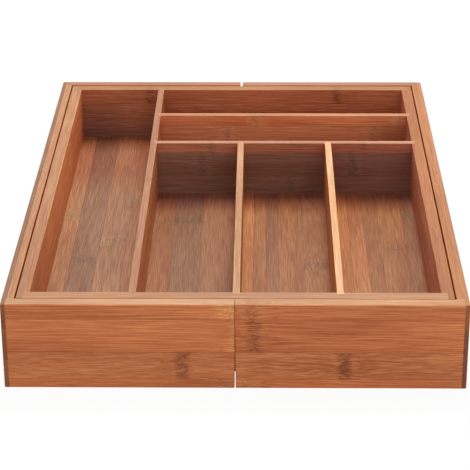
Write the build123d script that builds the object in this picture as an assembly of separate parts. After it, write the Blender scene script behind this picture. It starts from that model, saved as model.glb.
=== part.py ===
from build123d import *
import os

# An expanding cutlery tray for a kitchen drawer, in millimetres.
# The origin is on the surface under the middle of the closed tray: X to the right, Y to the back, Z up.
# A centre tray with six pockets stands inside two wings. Each wing is a three-sided frame with a thin floor
# that runs under the centre tray, so the wings pull out to the left and right and open two more pockets.

# The closed tray
closed_width = 330.0
tray_depth = 455.0
tray_height = 66.5

# The wings
side_board_thickness = 9.0
rail_thickness = 9.4
wing_corner_lip = 3.6           # end grain of a side board that shows beside a rail
wing_edge_radius = 1.6          # outer top edges and outer corners
wing_floor_thickness = 4.0
wing_floor_height = 3.5         # wood left under the groove that holds a wing floor

# Air between the wings, and between the wings and the centre tray
side_gap = 1.1
front_gap = 0.5
back_gap = 2.1
foot_clearance = 0.3            # the centre tray runs on the wing floors
front_seam_at_top = 0.3
front_seam_at_foot = 0.8
back_seam = 2.0
floor_seam = 2.4

# The centre tray
side_wall_thickness = 8.9
end_wall_thickness = 10.0
tray_corner_lip = 4.6           # end grain of a side wall that shows beside an end wall
tray_floor_thickness = 5.5
tray_floor_height = 6.7         # wood left under the groove that holds the tray floor
edge_radius = 0.6               # every top edge but the outermost

# Floor panels in their grooves
panel_groove_depth = 3.5
panel_end_gap = 0.3             # room for a panel to move at the bottom of its groove

# Dividers
left_pocket_width = 70.0
rear_pocket_depth = 59.5
long_divider_thickness = 5.5
cross_divider_thickness = 5.8
short_divider_thickness = 5.3
housing_depth = 2.5             # how far a divider's end is let into the piece that carries it
cross_divider_names = ("rear_cross_divider", "front_cross_divider")
short_divider_names = ("left_short_divider", "right_short_divider")

# Guide pins of the centre tray, and the blind grooves in the rails that they run in
pin_diameter = 6.0
pin_height = 36.0
pin_inset = 14.0                # from the outside of a side wall to the pin's axis
pin_hole_depth = 6.5
pin_reach = 4.0                 # how far a pin stands into a rail
pin_chamfer = 0.6
pin_glue_gap = 0.05
groove_depth = 4.8
groove_end = 12.6               # from the middle of the tray to where a groove stops its pin
groove_clearance = 0.3          # above and below a pin, and at both stops

# Planes of the outer frame
side = closed_width / 2
back = tray_depth / 2
board_inside = side - side_board_thickness
rail_inside = back - rail_thickness
wing_floor_top = wing_floor_height + wing_floor_thickness

# Planes of the centre tray
wall_outside = board_inside - side_gap
wall_inside = wall_outside - side_wall_thickness
tray_front = -rail_inside + front_gap
tray_back = rail_inside - back_gap
pocket_front = tray_front + end_wall_thickness
pocket_back = tray_back - end_wall_thickness
tray_foot = wing_floor_top + foot_clearance
tray_floor_underside = tray_foot + tray_floor_height
tray_floor_top = tray_floor_underside + tray_floor_thickness
pin_x = wall_outside - pin_inset
wing_travel = pin_x - groove_end - pin_diameter / 2 - groove_clearance

# Planes of the dividers
divider_left = -wall_inside + left_pocket_width
divider_right = divider_left + long_divider_thickness
cross_divider_backs = [
    pocket_back - rear_pocket_depth - index * (rear_pocket_depth + cross_divider_thickness)
    for index in range(len(cross_divider_names))]
short_divider_back = cross_divider_backs[-1] - cross_divider_thickness
short_divider_count = len(short_divider_names)
short_pocket_width = (
    wall_inside - divider_right - short_divider_count * short_divider_thickness) / (short_divider_count + 1)


def block(x, y, z):
    """A box from its low and high coordinates along each axis."""
    size = (x[1] - x[0], y[1] - y[0], z[1] - z[0])
    return Pos(x[0], y[0], z[0]) * Box(*size, align=(Align.MIN, Align.MIN, Align.MIN))


def cut(piece, tools):
    """The piece with all the tools taken out of it."""
    for tool in tools:
        piece -= tool
    return piece


def save(node, piece):
    """One file for one piece, named as the piece."""
    export_step(piece, f"parts/{node}.step")
    print(f"{node:24s} {piece.volume:12.1f} mm3")


def wing_frame():
    """Both wings' side boards and rails as one closed ring, rounded as they are once glued."""
    ring = block((-side, side), (-back, back), (0, tray_height))
    rounded = list(ring.edges().group_by(Axis.Z)[-1]) + list(ring.edges().filter_by(Axis.Z))
    ring = ring.fillet(wing_edge_radius, rounded)
    ring -= block((-board_inside, board_inside), (-rail_inside, rail_inside), (0, tray_height))
    opening = ring.faces().sort_by(Axis.Z)[-1].inner_wires()[0]
    return ring.fillet(edge_radius, opening.edges())


def wing_floor_panel(let_in, seam):
    """The left wing's floor panel, let into the side board and both rails, and short of the middle."""
    return block(
        (-board_inside - let_in, -seam / 2),
        (-rail_inside - let_in, rail_inside + let_in),
        (wing_floor_height, wing_floor_top))


def guide_groove(inside_face, away):
    """A blind groove with round ends, cut from a left rail's inside face away from the centre tray."""
    width = pin_diameter + 2 * groove_clearance
    length = wing_travel + pin_diameter + 2 * groove_clearance
    middle = -pin_x + wing_travel / 2
    face = Plane(origin=(middle, inside_face, pin_height), x_dir=(1, 0, 0), z_dir=(0, away, 0))
    return extrude(face * SlotOverall(length, width), amount=groove_depth)


def rail_blank(outside, inside, seam_at_top, seam_at_foot):
    """The room that a left rail takes up, from the side board's lip to the seam between the wings."""
    y = sorted((outside, inside))
    outline = Polyline(
        (-side + wing_corner_lip, y[0], 0), (-seam_at_foot / 2, y[0], 0),
        (-seam_at_top / 2, y[0], tray_height), (-side + wing_corner_lip, y[0], tray_height), close=True)
    return extrude(make_face(outline), amount=y[1] - y[0], dir=(0, 1, 0))


def make_wings():
    """The pieces of the left wing, and those of the right wing as their mirror image."""
    ring = wing_frame()
    front_room = rail_blank(-back, -rail_inside, front_seam_at_top, front_seam_at_foot)
    back_room = rail_blank(back, rail_inside, back_seam, back_seam)
    board_room = block((-side, -board_inside), (-back, back), (0, tray_height)) - front_room - back_room
    floor_groove = wing_floor_panel(panel_groove_depth, 0)
    pieces = {
        "side_board": (ring & board_room) - floor_groove,
        "front_rail": (ring & front_room) - floor_groove - guide_groove(-rail_inside, -1),
        "back_rail": (ring & back_room) - floor_groove - guide_groove(rail_inside, 1),
        "floor": wing_floor_panel(panel_groove_depth - panel_end_gap, floor_seam),
    }
    for name, piece in pieces.items():
        save(f"left_wing_{name}", piece)
        save(f"right_wing_{name}", mirror(piece, about=Plane.YZ))


def tray_frame():
    """The centre tray's walls and dividers as one blank, with the edges of all pockets eased."""
    blank = block((-wall_outside, wall_outside), (tray_front, tray_back), (tray_foot, tray_height))
    blank -= block((-wall_inside, wall_inside), (pocket_front, pocket_back), (tray_foot, tray_floor_top))
    pockets = [((-wall_inside, divider_left), (pocket_front, pocket_back))]
    back_of_pocket = pocket_back
    for divider_back in cross_divider_backs:
        pockets.append(((divider_right, wall_inside), (divider_back, back_of_pocket)))
        back_of_pocket = divider_back - cross_divider_thickness
    for index in range(short_divider_count + 1):
        x = divider_right + index * (short_pocket_width + short_divider_thickness)
        pockets.append(((x, x + short_pocket_width), (pocket_front, short_divider_back)))
    for x, y in pockets:
        blank -= block(x, y, (tray_floor_top, tray_height))
    top = blank.faces().sort_by(Axis.Z)[-1]
    return blank.fillet(edge_radius, top.edges())


def divider_rooms():
    """The room that each divider takes up, with the ends that are let into other pieces."""
    z = (tray_floor_top, tray_height)
    long_room = block(
        (divider_left, divider_right), (pocket_front - housing_depth, pocket_back + housing_depth), z)
    cross_rooms = {
        name: block(
            (divider_right - housing_depth, wall_inside + housing_depth),
            (divider_back - cross_divider_thickness, divider_back), z)
        for name, divider_back in zip(cross_divider_names, cross_divider_backs)}
    short_rooms = {}
    for index, name in enumerate(short_divider_names):
        x = divider_right + short_pocket_width + index * (short_pocket_width + short_divider_thickness)
        short_rooms[name] = block(
            (x, x + short_divider_thickness),
            (pocket_front - housing_depth, short_divider_back + housing_depth), z)
    return long_room, cross_rooms, short_rooms


def guide_pins():
    """Each guide pin and the blind hole that it is glued in, by the pin's name."""
    pins = {}
    for depth_name, face, away, gap in (
            ("front", tray_front, -1, front_gap), ("back", tray_back, 1, back_gap)):
        length = pin_hole_depth + gap + pin_reach
        for side_name, x in (("left", -pin_x), ("right", pin_x)):
            seat = Plane(origin=(x, face - away * pin_hole_depth, pin_height), z_dir=(0, away, 0))
            pin = extrude(seat * Circle(pin_diameter / 2), amount=length)
            pin = chamfer(pin.faces().sort_by(Axis.Y)[-1 if away > 0 else 0].edges(), pin_chamfer)
            hole = extrude(seat * Circle(pin_diameter / 2 + pin_glue_gap), amount=pin_hole_depth)
            pins[f"{depth_name}_{side_name}_guide_pin"] = (pin, hole)
    return pins


def tray_floor_panel(let_in):
    """The centre tray's floor panel, let into all four walls by the given depth."""
    return block(
        (-wall_inside - let_in, wall_inside + let_in),
        (pocket_front - let_in, pocket_back + let_in),
        (tray_floor_underside, tray_floor_top))


def make_centre_tray():
    """The walls, floor, dividers and guide pins of the centre tray."""
    blank = tray_frame()
    long_room, cross_rooms, short_rooms = divider_rooms()
    pins = guide_pins()

    full_height = (tray_foot, tray_height)
    lip = wall_outside - tray_corner_lip
    front_room = block((-lip, lip), (tray_front, pocket_front), full_height)
    back_room = block((-lip, lip), (pocket_back, tray_back), full_height)
    full_depth = (tray_front, tray_back)
    left_room = block((-wall_outside, -wall_inside), full_depth, full_height) - front_room - back_room
    right_room = block((wall_inside, wall_outside), full_depth, full_height) - front_room - back_room

    floor = tray_floor_panel(panel_groove_depth - panel_end_gap)
    floor_groove = tray_floor_panel(panel_groove_depth)
    end_housings = [long_room, floor_groove] + [hole for pin, hole in pins.values()]
    pieces = {
        "front_wall": cut(blank & front_room, end_housings + list(short_rooms.values())),
        "back_wall": cut(blank & back_room, end_housings),
        "left_wall": cut(blank & left_room, [floor_groove]),
        "right_wall": cut(blank & right_room, [floor_groove] + list(cross_rooms.values())),
        "tray_floor": floor,
        "long_divider": cut(blank & long_room, cross_rooms.values()),
    }
    for name, room in cross_rooms.items():
        pieces[name] = cut(blank & room, short_rooms.values())
    for name, room in short_rooms.items():
        pieces[name] = blank & room
    for name, (pin, hole) in pins.items():
        pieces[name] = pin
    for name, piece in pieces.items():
        save(name, piece)


os.makedirs("parts", exist_ok=True)
make_wings()
make_centre_tray()
print(f"Each wing slides out by {wing_travel:.1f} mm.")
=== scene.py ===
import math
import random
from collections import namedtuple
import bpy
from mathutils import Matrix, Vector


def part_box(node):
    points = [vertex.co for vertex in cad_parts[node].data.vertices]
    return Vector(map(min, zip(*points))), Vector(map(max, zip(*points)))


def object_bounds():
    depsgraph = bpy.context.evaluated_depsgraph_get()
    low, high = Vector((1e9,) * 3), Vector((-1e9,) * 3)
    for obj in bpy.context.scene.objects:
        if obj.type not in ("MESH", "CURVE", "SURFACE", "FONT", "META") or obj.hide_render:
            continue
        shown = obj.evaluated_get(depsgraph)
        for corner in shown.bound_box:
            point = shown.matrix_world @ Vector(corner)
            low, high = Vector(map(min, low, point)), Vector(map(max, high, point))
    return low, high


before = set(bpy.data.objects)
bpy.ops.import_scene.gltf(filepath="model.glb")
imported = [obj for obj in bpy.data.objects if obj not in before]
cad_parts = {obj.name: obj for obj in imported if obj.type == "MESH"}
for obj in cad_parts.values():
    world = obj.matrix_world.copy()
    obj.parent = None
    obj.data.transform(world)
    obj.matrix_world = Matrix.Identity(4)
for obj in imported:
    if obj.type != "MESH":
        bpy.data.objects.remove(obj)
cad_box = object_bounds()

# Side boards of the two wings
# Each is one long board of carbonised bamboo, glued up from three flat strips and finished with clear oil.
# The fibres run from front to back, so the end grain shows as a narrow dark lip at the tray's corners.

russet = (0.477, 0.140, 0.045)
amber = (0.489, 0.145, 0.047)
chestnut = (0.492, 0.160, 0.055)
left_edge = (0.500, 0.226, 0.104)
left_outer_ply = (0.275, 0.133, 0.064)
right_edge = (0.464, 0.171, 0.053)
right_outer_ply = (0.47, 0.190, 0.075)
outer_ply_thickness = 0.004
sawn_end_tone = (0.16, 0.052, 0.020)

# Wave is how wavy a strip grew. Knuckle is where along the board it has one, and dark is how dark that is.
Strip = namedtuple("Strip", "width tone wave knuckle dark", defaults=(0.0, None, 0.0))

# Painted shade: a part of a board's face darkened to stand in for shade that falls there. Side is 1 or -1,
# for the face that looks that way. Along the fibres and over the strips it has the place where the painted
# shade begins and the place where it is full.
PaintedShade = namedtuple("PaintedShade", "side along over tint")


class Value:
    """A number, colour or shader that comes out of a node. Sums and products of numbers add Math nodes."""

    def __init__(self, tree, socket):
        self.tree = tree
        self.socket = socket

    def maths(self, operation, first, second=0.0):
        return self.tree.node("ShaderNodeMath", {"operation": operation}, {0: first, 1: second})

    def __add__(self, other):
        return self.maths("ADD", self, other)

    def __sub__(self, other):
        return self.maths("SUBTRACT", self, other)

    def __rsub__(self, other):
        return self.maths("SUBTRACT", other, self)

    def __mul__(self, other):
        return self.maths("MULTIPLY", self, other)

    def __truediv__(self, other):
        return self.maths("DIVIDE", self, other)

    def __abs__(self):
        return self.maths("ABSOLUTE", self)

    def fraction(self):
        return self.maths("FRACT", self)

    def beyond(self, limit):
        return self.maths("GREATER_THAN", self, limit)

    def or_less(self, other):
        return self.maths("MINIMUM", self, other)

    def or_more(self, other):
        return self.maths("MAXIMUM", self, other)

    __radd__ = __add__
    __rmul__ = __mul__


class Nodes:
    """A node tree, with one method that adds a node of any kind."""

    def __init__(self, tree):
        self.nodes = tree.nodes
        self.links = tree.links

    def node(self, kind, settings, inputs, output=0):
        node = self.nodes.new(kind)
        for key, value in settings.items():
            setattr(node, key, value)
        for key, value in inputs.items():
            self.feed(node.inputs[key], value)
        return Value(self, node.outputs[output])

    def feed(self, socket, value):
        if isinstance(value, Value):
            self.links.new(value.socket, socket)
        elif socket.type == "RGBA":
            socket.default_value = (*value, 1)
        else:
            socket.default_value = value

    def parts(self, whole):
        """X, Y and Z of a place or a direction."""
        split = self.node("ShaderNodeSeparateXYZ", {}, {0: whole}).socket.node
        return {axis: Value(self, split.outputs[axis]) for axis in "XYZ"}

    def mix(self, share, first, second):
        settings = {"data_type": "RGBA", "blend_type": "MIX"}
        return self.node("ShaderNodeMix", settings, {0: share, 6: first, 7: second}, output=2)

    def stain(self, share, colour, tint):
        """The colour multiplied by a tint, as far as the share says."""
        settings = {"data_type": "RGBA", "blend_type": "MULTIPLY"}
        return self.node("ShaderNodeMix", settings, {0: share, 6: colour, 7: tint}, output=2)

    def between(self, value, low, high):
        """0 on low's side, 1 on high's side, and a smooth change between them."""
        settings = {"interpolation_type": "SMOOTHSTEP"}
        return self.node("ShaderNodeMapRange", settings, {0: value, 1: low, 2: high, 3: 0.0, 4: 1.0})


class Finish(Nodes):
    """One piece's material: a shader with the nodes that feed it."""

    def __init__(self, name):
        self.material = bpy.data.materials.new(name)
        self.material.use_nodes = True
        super().__init__(self.material.node_tree)
        self.shader = self.nodes["Principled BSDF"]

    def give(self, property_name, value):
        """A property of the shader takes the value."""
        self.feed(self.shader.inputs[property_name], value)


def stepped(passed, levels):
    """A number that goes to the next level wherever one more joint between two strips is passed."""
    total = levels[0]
    for past, before, after in zip(passed, levels, levels[1:]):
        total = total + past * (after - before)
    return total


class Board(Finish):
    """Bamboo whose fibres run along the grain axis, with its strips side by side along the stack axis."""

    def __init__(self, name, grain, stack, seed):
        super().__init__(name)
        thickness = next(axis for axis in "XYZ" if axis not in (grain, stack))
        place = self.parts(self.node("ShaderNodeTexCoord", {}, {}, output="Object"))
        facing = self.parts(self.node("ShaderNodeTexCoord", {}, {}, output="Normal"))
        self.along, self.over, self.through = place[grain], place[stack], place[thickness]
        self.looks_along, self.looks_over, self.looks_out = facing[grain], facing[stack], facing[thickness]
        self.seed = seed

    def spots(self, along, count, over, cross_count, detail=1.0):
        """Noise with so many spots in a metre along the fibres, and so many in a metre across them."""
        place = self.node("ShaderNodeCombineXYZ", {}, {
            0: along * count, 1: over * cross_count, 2: self.through * cross_count})
        return self.node("ShaderNodeTexNoise", {}, {"Vector": place, "Scale": 1.0, "Detail": detail})

    def lay_strips(self, start, strips, internode):
        """What changes from strip to strip. A turn is where a knuckle lies, as a share of an internode."""
        rng = random.Random(self.seed)
        turns = [rng.random() if strip.knuckle is None else strip.knuckle / internode % 1
                 for strip in strips]
        passed = []
        joint = start
        self.tone = strips[0].tone
        self.from_joint = 1.0
        for before, strip in zip(strips, strips[1:]):
            joint += before.width
            passed.append(self.over.beyond(joint))
            self.tone = self.mix(passed[-1], self.tone, strip.tone)
            self.from_joint = abs(self.over - joint).or_less(self.from_joint)
        self.turn = stepped(passed, turns)
        self.wave = stepped(passed, [strip.wave for strip in strips])
        self.dark = stepped(passed, [strip.dark for strip in strips])

    def mark_knuckles(self, reach, internode):
        """A knuckle is a ragged ring across its strip, dark or pale, in a halo where the fibres swirl."""
        full_ring, full_pale_ring, full_halo = reach * 0.25, 0.003, 0.006
        pale_reach, halo_reach = 0.013, 0.026
        ragged = self.spots(self.along, 40, self.over, 260, detail=2.0)
        bent = self.along + (ragged - 0.5) * (reach * 1.1)
        gap = abs((bent / internode - self.turn + 0.5).fraction() - 0.5) * internode
        marked = self.between(self.dark, 0.0, 0.1)
        self.ring = (1 - self.between(gap, full_ring, reach)) * marked
        self.halo = (1 - self.between(gap, full_halo, halo_reach)) * marked
        self.pale_ring = (1 - self.between(gap, full_pale_ring, pale_reach)) * marked * (1 - self.dark)
        self.knuckle = self.ring * self.dark

    def draw_grain(self, streaks, figure):
        """Fibres with dark and pale threads and short dashes among them, and clouds over the board."""
        strip_shift, board_shift = 3.7, 0.37
        strip_sway, halo_sway, least_sway = 0.005, 0.006, 0.0004
        dark_fibre, light_fibre = (0.82, 0.71, 0.64), (1.18, 1.32, 1.42)
        dark_thread, pale_thread = (0.70, 0.56, 0.48), (1.14, 1.28, 1.4)
        dark_dash = (0.68, 0.56, 0.50)
        dark_cloud, light_cloud = (0.87, 0.83, 0.80), (1.13, 1.18, 1.2)

        self.own = self.along + self.turn * strip_shift + self.seed * board_shift
        swirl = self.spots(self.own, 30, self.over, 110)
        sway = self.wave * strip_sway + self.halo * halo_sway + least_sway
        self.swayed = self.over + (swirl - 0.5) * sway
        broad = self.spots(self.own, self.wave * 10 + streaks * 0.35, self.swayed, 420)
        self.fine = self.spots(self.own, self.wave * 60 + streaks, self.swayed, 1500)
        thread = self.spots(self.own, self.wave * 40 + streaks * 0.6, self.swayed, 2100, detail=0.0)
        self.dash = self.spots(self.own, 170, self.swayed, 1500)
        self.drift = self.spots(self.own, 5, self.over, 30)

        self.fibre = self.between(broad * 0.25 + self.fine * 0.75, 0.36, 0.64)
        grain = self.mix(self.fibre, dark_fibre, light_fibre)
        grain = self.stain(self.between(thread, 0.54, 0.64) * 0.65, grain, dark_thread)
        grain = self.stain(self.between(thread, 0.45, 0.36) * 0.5, grain, pale_thread)
        dashes = self.between(self.dash, 0.55, 0.66) * (0.3 + self.halo * 0.6)
        grain = self.stain(dashes, grain, dark_dash)
        grain = self.mix(figure, (1, 1, 1), grain)
        clouds = self.mix(self.between(self.drift, 0.3, 0.7), dark_cloud, light_cloud)
        self.grain = self.stain(1.0, grain, clouds)

    def flat_face(self, painted_shade):
        """The strips' broad faces, with their knuckles, the thin dark joints and the painted shade."""
        pale_ring, dark_speck, pale_speck = (1.13, 1.40, 1.38), (0.50, 0.42, 0.47), (1.15, 1.35, 1.4)
        joint_line, joint_width = (0.5, 0.4, 0.34), 0.0004

        face = self.stain(1.0, self.tone, self.grain)
        face = self.stain(self.pale_ring * 0.8, face, pale_ring)
        speck = self.between(self.spots(self.own, 330, self.swayed, 750, detail=2.0), 0.43, 0.57)
        face = self.stain(self.knuckle * (0.35 + speck * 0.6), face, dark_speck)
        paleness = 1.15 - self.dark
        face = self.stain(self.ring * (1 - speck) * paleness * paleness * 0.8, face, pale_speck)
        in_joint = self.between(self.from_joint, joint_width, joint_width / 4)
        face = self.stain(in_joint * 0.5, face, joint_line)
        # Painted shade: each patch darkens one side of the face to stand in for shade.
        for shade_patch in painted_shade:
            share = self.between(self.along, *shade_patch.along) * self.between(self.over, *shade_patch.over)
            share = share * self.between(self.looks_out * shade_patch.side, 0.2, 0.6)
            face = self.stain(share, face, shade_patch.tint)
        return face

    def planed_edge(self, tone, outer_ply):
        """The board's long narrow edge, with another tone in its outer ply if it has one."""
        if outer_ply:
            ply_start, ply_tone = outer_ply
            tone = self.mix(abs(self.through).beyond(ply_start), tone, ply_tone)
        edge = self.stain(0.6, tone, self.grain)
        return self.stain(self.knuckle * 0.3, edge, (0.6, 0.5, 0.45))

    def sawn_end(self):
        """End grain: cut bundles of fibres, dark where they took up the oil."""
        bundles = self.between(self.spots(self.own, 40, self.over, 1300), 0.4, 0.6)
        end = self.mix(bundles, (0.8, 0.75, 0.7), (1.4, 1.5, 1.6))
        end = self.stain(1.0, sawn_end_tone, end)
        return self.stain(self.between(self.drift, 0.4, 0.6), end, (1.5, 1.45, 1.4))


def bamboo(node, grain, stack, strips, seed, edge_tone, start=0.0, outer_ply=None,
           streaks=28, reach=0.0055, internode=0.32, figure=1.0, painted_shade=()):
    """Dresses a piece in oiled bamboo. The strips lie side by side from start. The outer ply of an edge has
    a tone of its own, and starts so far from the tray's middle. Streaks are counted per metre of grain. A
    knuckle's mark goes out to reach on either side, and comes back after each internode. Figure is how
    strongly the grain shows."""
    # Paler rounded edges: painted highlight along the arrises, partly sanding wear.
    arris_wear_and_highlight_tint = (1.35, 1.45, 1.5)
    fibre_height, dash_height, knuckle_depth = 0.00004, 0.00002, 0.0001

    board = Board(node, grain, stack, seed)
    board.lay_strips(start, strips, internode)
    board.mark_knuckles(reach, internode)
    board.draw_grain(streaks, figure)

    narrow = abs(board.looks_over)
    face = board.flat_face(painted_shade)
    edge = board.planed_edge(edge_tone, outer_ply)
    colour = board.mix(board.between(narrow, 0.6, 0.9), face, edge)
    # Painted highlight and sanding wear: the rounded edges between faces are made paler.
    arris_wear_and_highlight = board.between(narrow, 0.15, 0.45) - board.between(narrow, 0.85, 0.99)
    colour = board.stain(arris_wear_and_highlight * 0.7, colour, arris_wear_and_highlight_tint)
    end = board.between(abs(board.looks_along), 0.5, 0.85)
    board.give("Base Color", board.mix(end, colour, board.sawn_end()))

    relief = board.fibre * fibre_height + board.dash * dash_height - board.knuckle * knuckle_depth
    bump = board.node("ShaderNodeBump", {}, {"Strength": 0.6, "Distance": 1.0, "Height": relief})
    board.give("Normal", bump)
    board.give("Roughness", 0.44 + board.fine * 0.12 + end * 0.2)
    board.give("Specular IOR Level", 0.2)
    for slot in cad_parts[node].material_slots:
        slot.material = board.material


board_strips = [
    Strip(0.0220, chestnut, wave=0.5, knuckle=0.05, dark=0.9),
    Strip(0.0245, russet, wave=0.1, knuckle=-0.07, dark=0.5),
    Strip(0.0200, amber, wave=0.1, knuckle=0.01, dark=0.6)]
outer_ply_start = cad_box[1].x - outer_ply_thickness
for node, seed, edge_tone, ply_tone in (
        ("left_wing_side_board", 3, left_edge, left_outer_ply),
        ("right_wing_side_board", 4, right_edge, right_outer_ply)):
    bamboo(node, "Y", "Z", board_strips, seed, edge_tone, outer_ply=(outer_ply_start, ply_tone))

# Rails of the two wings
# The front and back of the outer frame, in two halves that meet in the middle. Each is a board of three or
# four strips, glued into the rabbet of its side board, with the fibres running left to right.

front_left_edge, front_right_edge = (0.595, 0.312, 0.157), (0.555, 0.263, 0.118)
back_left_edge, back_right_edge = (0.396, 0.161, 0.081), (0.404, 0.180, 0.103)
front_left_strips = [
    Strip(0.0070, amber, wave=0.3, knuckle=-0.009, dark=0.4),
    Strip(0.0216, chestnut, wave=0.8, knuckle=-0.037, dark=1.0),
    Strip(0.0262, russet, wave=0.1, knuckle=0.003, dark=0.15),
    Strip(0.0117, amber, wave=0.1, knuckle=-0.006, dark=0.11)]
front_right_strips = [
    Strip(0.0070, amber, wave=0.3, knuckle=0.009, dark=0.5),
    Strip(0.0216, chestnut, wave=0.8, knuckle=0.078, dark=1.0),
    Strip(0.0262, russet, wave=0.1, knuckle=0.0135, dark=0.8),
    Strip(0.0117, amber, wave=0.1, knuckle=0.012, dark=0.7)]
back_left_strips = [
    Strip(0.0286, chestnut, wave=0.5, knuckle=-0.110, dark=0.9),
    Strip(0.0262, russet, wave=0.1, knuckle=-0.060, dark=0.6),
    Strip(0.0117, amber, wave=0.1)]
back_right_strips = [
    Strip(0.0286, chestnut, wave=0.5, knuckle=0.122, dark=0.8),
    Strip(0.0262, russet, wave=0.1, knuckle=0.041, dark=0.5),
    Strip(0.0117, amber, wave=0.1)]
for node, strips, seed, edge_tone, figure in (
        ("left_wing_front_rail", front_left_strips, 11, front_left_edge, 0.72),
        ("right_wing_front_rail", front_right_strips, 21, front_right_edge, 0.86),
        ("left_wing_back_rail", back_left_strips, 12, back_left_edge, 0.8),
        ("right_wing_back_rail", back_right_strips, 22, back_right_edge, 0.8)):
    bamboo(node, "X", "Z", strips, seed, edge_tone, reach=0.007, figure=figure)

# Floors of the two wings
# Each is a thin bamboo panel in the groove of its wing, of eight strips that run front to back. It lies
# under the centre tray and shows when the wing is out.

tan = (0.390, 0.186, 0.091)
ash = (0.266, 0.125, 0.065)
clay = (0.352, 0.150, 0.064)
bark = (0.318, 0.141, 0.066)
husk = (0.392, 0.165, 0.062)
left_floor_strips = [
    Strip(0.0186, husk, knuckle=0.031, dark=0.4),
    Strip(0.0214, ash, knuckle=-0.084, dark=0.6),
    Strip(0.0205, clay, knuckle=0.112, dark=0.45),
    Strip(0.0228, bark),
    Strip(0.0192, tan, knuckle=-0.021, dark=0.4),
    Strip(0.0219, clay, wave=0.2, knuckle=0.058, dark=0.55),
    Strip(0.0183, husk, knuckle=-0.131, dark=0.45),
    Strip(0.0153, ash)]
right_floor_strips = [
    Strip(0.0221, clay),
    Strip(0.0197, tan, wave=0.1, knuckle=0.094, dark=0.45),
    Strip(0.0224, bark, knuckle=-0.047, dark=0.6),
    Strip(0.0189, husk, knuckle=0.138, dark=0.4),
    Strip(0.0216, clay),
    Strip(0.0203, ash, knuckle=0.019, dark=0.6),
    Strip(0.0198, tan, wave=0.3, knuckle=-0.102, dark=0.45),
    Strip(0.0132, husk, knuckle=0.067, dark=0.35)]
for node, strips, seed in (
        ("left_wing_floor", left_floor_strips, 31),
        ("right_wing_floor", right_floor_strips, 32)):
    bamboo(node, "Y", "X", strips, seed, tan, start=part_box(node)[0].x,
           streaks=42, reach=0.010, figure=0.9)

# Side walls of the centre tray
# Two bamboo boards of two strips each, with fibres that run front to back. The front and back walls are
# glued into the rabbets at their ends.

copper, bronze = (0.708, 0.226, 0.079), (0.560, 0.195, 0.102)
left_wall_edge, right_wall_edge = (0.450, 0.199, 0.090), (0.426, 0.148, 0.047)
left_wall_strips = [
    Strip(0.0280, copper, wave=0.05, knuckle=-0.05, dark=0.4),
    Strip(0.0385, copper, wave=0.1, knuckle=0.09, dark=0.3)]
right_wall_strips = [
    Strip(0.0280, bronze, wave=0.05, knuckle=0.06, dark=0.4),
    Strip(0.0385, bronze, wave=0.1, knuckle=-0.11, dark=0.3)]
bamboo("left_wall", "Y", "Z", left_wall_strips, 41, left_wall_edge)
bamboo("right_wall", "Y", "Z", right_wall_strips, 42, right_wall_edge)

# Front and back walls of the centre tray
# Bamboo boards across the tray's ends, of two strips at the front and three at the back, glued into the
# rabbets of the side walls. Painted shade darkens the back one on its inside, low down and at its left end.

front_wall_edge, back_wall_edge = (0.508, 0.239, 0.109), (0.426, 0.175, 0.066)
walnut, cocoa, henna = (0.468, 0.176, 0.076), (0.505, 0.175, 0.080), (0.485, 0.156, 0.068)
whole_length = (-0.2, -0.19)    # begins and is full to the left of every board
front_wall_strips = [
    Strip(0.0280, chestnut, wave=0.2, knuckle=-0.04, dark=0.8),
    Strip(0.0385, russet, wave=0.1)]
back_wall_strips = [
    Strip(0.0280, walnut, wave=0.3),
    Strip(0.0247, cocoa, wave=0.4),
    Strip(0.0138, henna, wave=0.1, knuckle=0.087, dark=0.9)]
# Painted shade on the back wall's inside: darker lower down over its whole length, and more at its left end.
back_wall_painted_shade = [
    PaintedShade(side=-1, along=(-0.090, -0.135), over=(0.059, 0.046), tint=(0.66, 0.63, 0.70)),
    PaintedShade(side=-1, along=whole_length, over=(0.057, 0.020), tint=(0.62, 0.72, 1.05))]
bamboo("front_wall", "X", "Z", front_wall_strips, 51, front_wall_edge)
bamboo("back_wall", "X", "Z", back_wall_strips, 52, back_wall_edge,
       internode=0.171, figure=0.8, painted_shade=back_wall_painted_shade)

# Floor of the centre tray
# One bamboo panel of seventeen strips that run front to back, let into grooves in all four walls. Painted
# shade darkens it, redder at the back of the left pocket, and cooler right of the long divider from the far
# ends of the front pockets backwards.

sand, umber, hazel = (0.379, 0.167, 0.072), (0.284, 0.124, 0.058), (0.311, 0.122, 0.048)
cider, oak, ginger = (0.477, 0.167, 0.038), (0.358, 0.133, 0.043), (0.437, 0.157, 0.048)
tawny, drab, loam = (0.540, 0.207, 0.058), (0.334, 0.140, 0.058), (0.368, 0.146, 0.053)
sienna = (0.338, 0.123, 0.045)
tray_floor_strips = [
    Strip(0.0163, sand, knuckle=0.0293, dark=0.35),
    Strip(0.0209, ash, knuckle=-0.058, dark=0.6),
    Strip(0.0210, tan, knuckle=-0.0229, dark=0.4),
    Strip(0.0177, drab, knuckle=0.061, dark=0.5),
    Strip(0.0198, sienna, knuckle=0.0155, dark=0.45),
    Strip(0.0234, umber, knuckle=0.0176, dark=0.65),
    Strip(0.0298, hazel),
    Strip(0.0126, tawny),
    Strip(0.0100, oak),
    Strip(0.0098, hazel),
    Strip(0.0205, oak),
    Strip(0.0224, loam, wave=0.4, knuckle=-0.068, dark=0.65),
    Strip(0.0153, cider),
    Strip(0.0126, ginger),
    Strip(0.0121, oak),
    Strip(0.0203, oak, knuckle=-0.0362, dark=0.55),
    Strip(0.0139, hazel, knuckle=0.0267, dark=0.55)]
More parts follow.
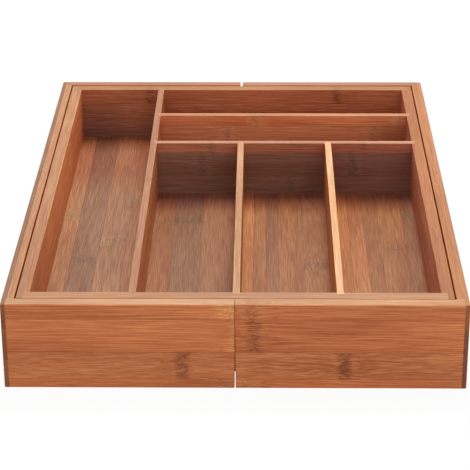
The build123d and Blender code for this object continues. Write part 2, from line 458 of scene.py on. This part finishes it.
# Painted shade on the floor's top face: darker with a red cast of reflected light at the back of the left
# pocket, and darker and cooler right of the long divider from the far ends of the front pockets backwards.
tray_floor_painted_shade = [
    PaintedShade(side=1, along=(0.066, 0.126), over=(-0.070, -0.078), tint=(0.86, 0.64, 0.58)),
    PaintedShade(side=1, along=(0.034, 0.060), over=(-0.0725, -0.071), tint=(0.90, 0.80, 1.20))]
bamboo("tray_floor", "Y", "X", tray_floor_strips, 61, tan, start=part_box("tray_floor")[0].x,
       streaks=42, reach=0.010, figure=0.9, painted_shade=tray_floor_painted_shade)

# Dividers
# Thin bamboo boards of two or three strips, which stand on the floor with their ends let into the walls
# and into each other. The crosswise ones have painted shade on the side to the front.

long_edge, short_edge, bright_edge = (0.417, 0.181, 0.090), (0.545, 0.277, 0.126), (0.825, 0.447, 0.216)
rear_cross_edge, front_cross_edge = (0.538, 0.234, 0.107), (0.495, 0.233, 0.134)
fawn, honey, apricot = (0.560, 0.190, 0.066), (0.592, 0.211, 0.096), (0.705, 0.227, 0.090)
coffee, sepia, madder = (0.458, 0.163, 0.065), (0.468, 0.177, 0.072), (0.404, 0.128, 0.063)
fawn_strips = [
    Strip(0.0360, fawn, wave=0.1, knuckle=-0.12, dark=0.6),
    Strip(0.0305, fawn, wave=0.1, knuckle=-0.006, dark=0.4)]
rear_cross_strips = [
    Strip(0.0360, honey, wave=0.1, knuckle=0.060, dark=0.6),
    Strip(0.0205, honey, wave=0.2, knuckle=-0.0125, dark=0.5),
    Strip(0.0100, apricot, wave=0.1, knuckle=0.0114, dark=0.45)]
# Painted shade on the rear cross divider's front face, darker towards its right end.
rear_cross_painted_shade = [PaintedShade(side=-1, along=(0.100, 0.136), over=(0.08, 0.07), tint=(0.80, 0.79, 0.86))]
front_cross_strips = [
    Strip(0.0363, sepia, wave=0.1, knuckle=0.044, dark=0.5),
    Strip(0.0212, coffee, wave=0.1, knuckle=-0.032, dark=0.6),
    Strip(0.0090, madder, wave=0.1, knuckle=0.104, dark=0.6)]
# Painted shade on the front cross divider's front face: a little at its right end, and strongly below its
# top strip.
front_cross_painted_shade = [
    PaintedShade(side=-1, along=(0.068, 0.092), over=(0.08, 0.07), tint=(0.93, 0.88, 0.92)),
    PaintedShade(side=-1, along=whole_length, over=(0.058, 0.057), tint=(0.50, 0.60, 0.95))]
bamboo("long_divider", "Y", "Z", fawn_strips, 71, long_edge)
bamboo("rear_cross_divider", "X", "Z", rear_cross_strips, 72, rear_cross_edge,
       internode=0.13, figure=0.6, painted_shade=rear_cross_painted_shade)
bamboo("front_cross_divider", "X", "Z", front_cross_strips, 73, front_cross_edge,
       internode=0.128, figure=0.68, painted_shade=front_cross_painted_shade)
bamboo("left_short_divider", "Y", "Z", fawn_strips, 81, short_edge)
bamboo("right_short_divider", "Y", "Z", fawn_strips, 82, bright_edge)

# Guide pins
# Short turned dowels of pale wood, glued into the front and back walls of the centre tray. They run in
# grooves in the rails, out of sight.

pale = (0.55, 0.36, 0.19)
first_pin_seed = 91
pins = [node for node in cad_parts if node.endswith("guide_pin")]
dowel = [Strip(0.006, pale, wave=0.1)]
for number, node in enumerate(pins):
    bamboo(node, "Y", "Z", dowel, first_pin_seed + number, pale)

# Studio
# A pale floor under a white sky, a long soft key light above and behind the tray, a weaker fill in front
# of it, and the camera, which stands in front and looks down at the tray.

floor_size = 6.0
floor_white = 0.9
floor_glow = 1.03
glow_share = 0.9                # the rest is the floor's own shade, with the tray's shadow
sky_light, sky_seen = 0.5, 1.0


def studio_seen(tree):
    """1 where the studio is seen, also in a reflection or through glass, and 0 where it only gives light."""
    rays = tree.node("ShaderNodeLightPath", {}, {}).socket.node.outputs
    seen = Value(tree, rays["Is Camera Ray"])
    for ray in ("Is Glossy Ray", "Is Transmission Ray"):
        seen = seen.or_more(Value(tree, rays[ray]))
    return seen


def soft_light(name, place, target, width, length, power):
    """A flat lamp at a place, facing the target."""
    data = bpy.data.lights.new(name, "AREA")
    data.shape = "RECTANGLE"
    data.size = width
    data.size_y = length
    data.energy = power
    lamp = bpy.data.objects.new(name, data)
    bpy.context.scene.collection.objects.link(lamp)
    lamp.location = place
    lamp.rotation_euler = (Vector(place) - Vector(target)).to_track_quat("Z", "Y").to_euler()


bpy.ops.mesh.primitive_plane_add(size=floor_size)
floor = bpy.context.object
floor.name = "studio_floor"
white = Finish("studio_floor")
white.give("Base Color", (floor_white, floor_white, floor_white))
white.give("Roughness", 0.8)
white.give("Specular IOR Level", 0.0)
glow = white.node("ShaderNodeEmission", {}, {"Color": (1, 1, 1), "Strength": floor_glow})
shaded = Value(white, white.shader.outputs[0])
look = white.node("ShaderNodeMixShader", {}, {0: studio_seen(white) * glow_share, 1: shaded, 2: glow})
white.feed(white.nodes["Material Output"].inputs["Surface"], look)
floor.data.materials.append(white.material)

soft_light("key", place=(0.08, 0.90, 1.65), target=(0, 0, 0.05), width=0.4, length=1.1, power=27.0)
soft_light("fill", place=(0.3, -2.0, 0.7), target=(0, 0, 0.03), width=1.2, length=1.2, power=11.9)

world = bpy.data.worlds.new("studio")
bpy.context.scene.world = world
world.use_nodes = True
sky = Nodes(world.node_tree)
background = sky.nodes["Background"]
sky.feed(background.inputs["Color"], (1, 1, 1))
sky.feed(background.inputs["Strength"], sky_light + studio_seen(sky) * (sky_seen - sky_light))

camera_place = Vector((0.0187, -1.3768, 0.6497))
camera_down, camera_turn, camera_roll = math.radians(24.733), math.radians(0.911), math.radians(-0.256)
level = math.radians(90)
camera_data = bpy.data.cameras.new("camera")
camera_data.lens = 141.1
camera_data.sensor_width = 36.0
camera = bpy.data.objects.new("camera", camera_data)
bpy.context.scene.collection.objects.link(camera)
camera.matrix_world = (
    Matrix.Translation(camera_place) @ Matrix.Rotation(camera_turn, 4, "Z")
    @ Matrix.Rotation(level - camera_down, 4, "X") @ Matrix.Rotation(camera_roll, 4, "Z"))
bpy.context.scene.camera = camera
bpy.context.scene.view_settings.view_transform = "Standard"
